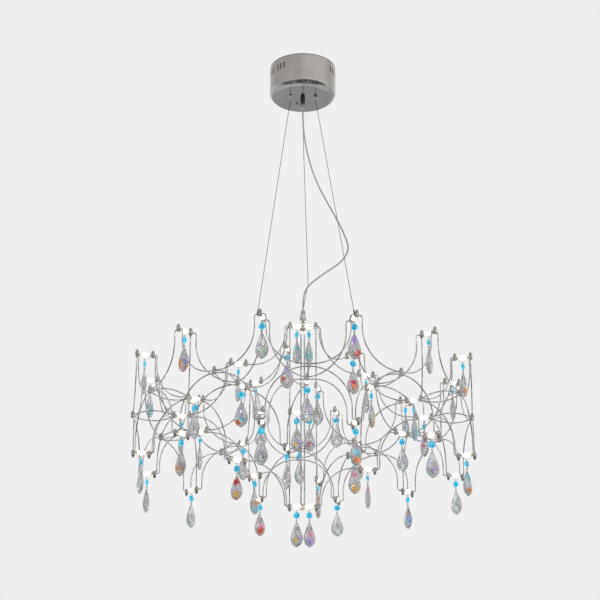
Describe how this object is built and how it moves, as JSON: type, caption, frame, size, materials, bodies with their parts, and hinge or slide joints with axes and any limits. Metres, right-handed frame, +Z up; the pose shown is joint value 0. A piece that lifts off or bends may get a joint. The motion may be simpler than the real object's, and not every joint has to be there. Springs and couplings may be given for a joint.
{
  "type": "crystal chandelier",
  "caption": "Low-voltage ceiling chandelier: round canopy, thin suspension wires, slack power cable and a double-skinned round cage of bent wire with small lamps and hanging crystal drops.",
  "frame": {"origin": "centre of the canopy's rim on the ceiling face", "axes": "+Z up into the ceiling, -Y towards the front, where the power cable's slack loop swings out to +X"},
  "size_m": [0.704, 0.704, 1.0747],
  "materials": {
    "chrome_canopy": "polished",
    "zinc_steel": "satin",
    "nickel_wire": "satin",
    "dark_nickel": "satin",
    "steel_wire": "satin",
    "white_plastic": "matte",
    "dark_plastic": "matte",
    "clear_sheath": "gloss",
    "lamp_glass": "clear",
    "crystal": "cut"
  },
  "bodies": {
    "frame": {"cable_cone": "chrome_canopy", "cable_gland": "dark_plastic", "canopy_nuts": "zinc_steel", "canopy_screws": "zinc_steel", "canopy_shell": "chrome_canopy", "ceiling_bracket": "zinc_steel", "centre_posts": "nickel_wire", "centre_terminals": "dark_nickel", "ferrules": "dark_nickel", "gripper_bodies": "chrome_canopy", "hub_wires": "nickel_wire", "inner_skin_wires": "nickel_wire", "junction_collars": "dark_nickel", "lamp_bulbs": "lamp_glass", "lamp_caps": "dark_nickel", "link_wires": "nickel_wire", "outer_skin_wires": "nickel_wire", "pan_head_screws": "zinc_steel", "power_cable": "clear_sheath", "slings": "nickel_wire", "spoke_wires": "nickel_wire", "suspension_wires": "steel_wire", "terminal_block": "white_plastic", "transformer": "white_plastic"},
    "gripper_plunger_left": {"gripper_plunger_left": "chrome_canopy"},
    "gripper_plunger_rear": {"gripper_plunger_rear": "chrome_canopy"},
    "gripper_plunger_right": {"gripper_plunger_right": "chrome_canopy"},
    "bottom_drop_01": {"bottom_drop_01": "crystal"},
    "bottom_drop_02": {"bottom_drop_02": "crystal"},
    "bottom_drop_03": {"bottom_drop_03": "crystal"},
    "bottom_drop_04": {"bottom_drop_04": "crystal"},
    "bottom_drop_05": {"bottom_drop_05": "crystal"},
    "bottom_drop_06": {"bottom_drop_06": "crystal"},
    "bottom_drop_07": {"bottom_drop_07": "crystal"},
    "bottom_drop_08": {"bottom_drop_08": "crystal"},
    "bottom_drop_09": {"bottom_drop_09": "crystal"},
    "bottom_drop_10": {"bottom_drop_10": "crystal"},
    "bottom_drop_11": {"bottom_drop_11": "crystal"},
    "bottom_drop_12": {"bottom_drop_12": "crystal"},
    "centre_drop_01": {"centre_drop_01": "crystal"},
    "centre_drop_02": {"centre_drop_02": "crystal"},
    "centre_drop_03": {"centre_drop_03": "crystal"},
    "middle_drop_01": {"middle_drop_01": "crystal"},
    "middle_drop_02": {"middle_drop_02": "crystal"},
    "middle_drop_03": {"middle_drop_03": "crystal"},
    "middle_drop_04": {"middle_drop_04": "crystal"},
    "middle_drop_05": {"middle_drop_05": "crystal"},
    "middle_drop_06": {"middle_drop_06": "crystal"},
    "top_drop_01": {"top_drop_01": "crystal"},
    "top_drop_02": {"top_drop_02": "crystal"},
    "top_drop_03": {"top_drop_03": "crystal"},
    "top_drop_04": {"top_drop_04": "crystal"},
    "top_drop_05": {"top_drop_05": "crystal"},
    "top_drop_06": {"top_drop_06": "crystal"},
    "top_drop_07": {"top_drop_07": "crystal"},
    "top_drop_08": {"top_drop_08": "crystal"},
    "top_drop_09": {"top_drop_09": "crystal"},
    "top_drop_10": {"top_drop_10": "crystal"},
    "top_drop_11": {"top_drop_11": "crystal"},
    "top_drop_12": {"top_drop_12": "crystal"}
  },
  "joints": [
    {"name": "bottom_drop_01_swing", "type": "hinge", "parent": "frame", "child": "bottom_drop_01", "pos_m": [0, 0, -0.913], "axis": [0.2588, -0.9659, 0], "range_deg": [-45, 45]},
    {"name": "bottom_drop_02_swing", "type": "hinge", "parent": "frame", "child": "bottom_drop_02", "pos_m": [0, 0, -0.913], "axis": [0.7071, -0.7071, 0], "range_deg": [-45, 45]},
    {"name": "bottom_drop_03_swing", "type": "hinge", "parent": "frame", "child": "bottom_drop_03", "pos_m": [0, 0, -0.913], "axis": [0.9659, -0.2588, 0], "range_deg": [-45, 45]},
    {"name": "bottom_drop_04_swing", "type": "hinge", "parent": "frame", "child": "bottom_drop_04", "pos_m": [0, 0, -0.913], "axis": [0.9659, 0.2588, 0], "range_deg": [-45, 45]},
    {"name": "bottom_drop_05_swing", "type": "hinge", "parent": "frame", "child": "bottom_drop_05", "pos_m": [0, 0, -0.913], "axis": [0.7071, 0.7071, 0], "range_deg": [-45, 45]},
    {"name": "bottom_drop_06_swing", "type": "hinge", "parent": "frame", "child": "bottom_drop_06", "pos_m": [0, 0, -0.913], "axis": [0.2588, 0.9659, 0], "range_deg": [-45, 45]},
    {"name": "bottom_drop_07_swing", "type": "hinge", "parent": "frame", "child": "bottom_drop_07", "pos_m": [0, 0, -0.913], "axis": [-0.2588, 0.9659, 0], "range_deg": [-45, 45]},
    {"name": "bottom_drop_08_swing", "type": "hinge", "parent": "frame", "child": "bottom_drop_08", "pos_m": [0, 0, -0.913], "axis": [-0.7071, 0.7071, 0], "range_deg": [-45, 45]},
    {"name": "bottom_drop_09_swing", "type": "hinge", "parent": "frame", "child": "bottom_drop_09", "pos_m": [0, 0, -0.913], "axis": [-0.9659, 0.2588, 0], "range_deg": [-45, 45]},
    {"name": "bottom_drop_10_swing", "type": "hinge", "parent": "frame", "child": "bottom_drop_10", "pos_m": [0, 0, -0.913], "axis": [-0.9659, -0.2588, 0], "range_deg": [-45, 45]},
    {"name": "bottom_drop_11_swing", "type": "hinge", "parent": "frame", "child": "bottom_drop_11", "pos_m": [0, 0, -0.913], "axis": [-0.7071, -0.7071, 0], "range_deg": [-45, 45]},
    {"name": "bottom_drop_12_swing", "type": "hinge", "parent": "frame", "child": "bottom_drop_12", "pos_m": [0, 0, -0.913], "axis": [-0.2588, -0.9659, 0], "range_deg": [-45, 45]},
    {"name": "centre_drop_01_swing", "type": "hinge", "parent": "frame", "child": "centre_drop_01", "pos_m": [0, 0, -0.617], "axis": [1, 0, 0], "range_deg": [-45, 11]},
    {"name": "centre_drop_02_swing", "type": "hinge", "parent": "frame", "child": "centre_drop_02", "pos_m": [0, 0, -0.804], "axis": [1, 0, 0], "range_deg": [-45, 11]},
    {"name": "centre_drop_03_swing", "type": "hinge", "parent": "frame", "child": "centre_drop_03", "pos_m": [0, 0, -0.999], "axis": [1, 0, 0], "range_deg": [-45, 45]},
    {"name": "middle_drop_01_swing", "type": "hinge", "parent": "frame", "child": "middle_drop_01", "pos_m": [0, 0, -0.813], "axis": [0, -1, 0], "range_deg": [-45, 45]},
    {"name": "middle_drop_02_swing", "type": "hinge", "parent": "frame", "child": "middle_drop_02", "pos_m": [0, 0, -0.813], "axis": [0.5, -0.866, 0], "range_deg": [-45, 45]},
    {"name": "middle_drop_03_swing", "type": "hinge", "parent": "frame", "child": "middle_drop_03", "pos_m": [0, 0, -0.813], "axis": [0.866, -0.5, 0], "range_deg": [-45, 45]},
    {"name": "middle_drop_04_swing", "type": "hinge", "parent": "frame", "child": "middle_drop_04", "pos_m": [0, 0, -0.813], "axis": [1, 0, 0], "range_deg": [-45, 45]},
    {"name": "middle_drop_05_swing", "type": "hinge", "parent": "frame", "child": "middle_drop_05", "pos_m": [0, 0, -0.813], "axis": [0.866, 0.5, 0], "range_deg": [-45, 45]},
    {"name": "middle_drop_06_swing", "type": "hinge", "parent": "frame", "child": "middle_drop_06", "pos_m": [0, 0, -0.813], "axis": [0.5, 0.866, 0], "range_deg": [-45, 45]},
    {"name": "top_drop_01_swing", "type": "hinge", "parent": "frame", "child": "top_drop_01", "pos_m": [0, 0, -0.711], "axis": [0.2588, -0.9659, 0], "range_deg": [-45, 45]},
    {"name": "top_drop_02_swing", "type": "hinge", "parent": "frame", "child": "top_drop_02", "pos_m": [0, 0, -0.711], "axis": [0.7071, -0.7071, 0], "range_deg": [-45, 45]},
    {"name": "top_drop_03_swing", "type": "hinge", "parent": "frame", "child": "top_drop_03", "pos_m": [0, 0, -0.711], "axis": [0.9659, -0.2588, 0], "range_deg": [-45, 45]},
    {"name": "top_drop_04_swing", "type": "hinge", "parent": "frame", "child": "top_drop_04", "pos_m": [0, 0, -0.711], "axis": [0.9659, 0.2588, 0], "range_deg": [-45, 45]},
    {"name": "top_drop_05_swing", "type": "hinge", "parent": "frame", "child": "top_drop_05", "pos_m": [0, 0, -0.711], "axis": [0.7071, 0.7071, 0], "range_deg": [-45, 45]},
    {"name": "top_drop_06_swing", "type": "hinge", "parent": "frame", "child": "top_drop_06", "pos_m": [0, 0, -0.711], "axis": [0.2588, 0.9659, 0], "range_deg": [-45, 45]},
    {"name": "top_drop_07_swing", "type": "hinge", "parent": "frame", "child": "top_drop_07", "pos_m": [0, 0, -0.711], "axis": [-0.2588, 0.9659, 0], "range_deg": [-45, 45]},
    {"name": "top_drop_08_swing", "type": "hinge", "parent": "frame", "child": "top_drop_08", "pos_m": [0, 0, -0.711], "axis": [-0.7071, 0.7071, 0], "range_deg": [-45, 45]},
    {"name": "top_drop_09_swing", "type": "hinge", "parent": "frame", "child": "top_drop_09", "pos_m": [0, 0, -0.711], "axis": [-0.9659, 0.2588, 0], "range_deg": [-45, 45]},
    {"name": "top_drop_10_swing", "type": "hinge", "parent": "frame", "child": "top_drop_10", "pos_m": [0, 0, -0.711], "axis": [-0.9659, -0.2588, 0], "range_deg": [-45, 45]},
    {"name": "top_drop_11_swing", "type": "hinge", "parent": "frame", "child": "top_drop_11", "pos_m": [0, 0, -0.711], "axis": [-0.7071, -0.7071, 0], "range_deg": [-45, 45]},
    {"name": "top_drop_12_swing", "type": "hinge", "parent": "frame", "child": "top_drop_12", "pos_m": [0, 0, -0.711], "axis": [-0.2588, -0.9659, 0], "range_deg": [-45, 45]},
    {"name": "gripper_plunger_left_push", "type": "slide", "parent": "frame", "child": "gripper_plunger_left", "axis": [0, 0, 1], "range_m": [0, 0.0015], "stiffness_N_per_m": 500, "springref_m": -0.004},
    {"name": "gripper_plunger_rear_push", "type": "slide", "parent": "frame", "child": "gripper_plunger_rear", "axis": [0, 0, 1], "range_m": [0, 0.0015], "stiffness_N_per_m": 500, "springref_m": -0.004},
    {"name": "gripper_plunger_right_push", "type": "slide", "parent": "frame", "child": "gripper_plunger_right", "axis": [0, 0, 1], "range_m": [0, 0.0015], "stiffness_N_per_m": 500, "springref_m": -0.004}
  ]
}
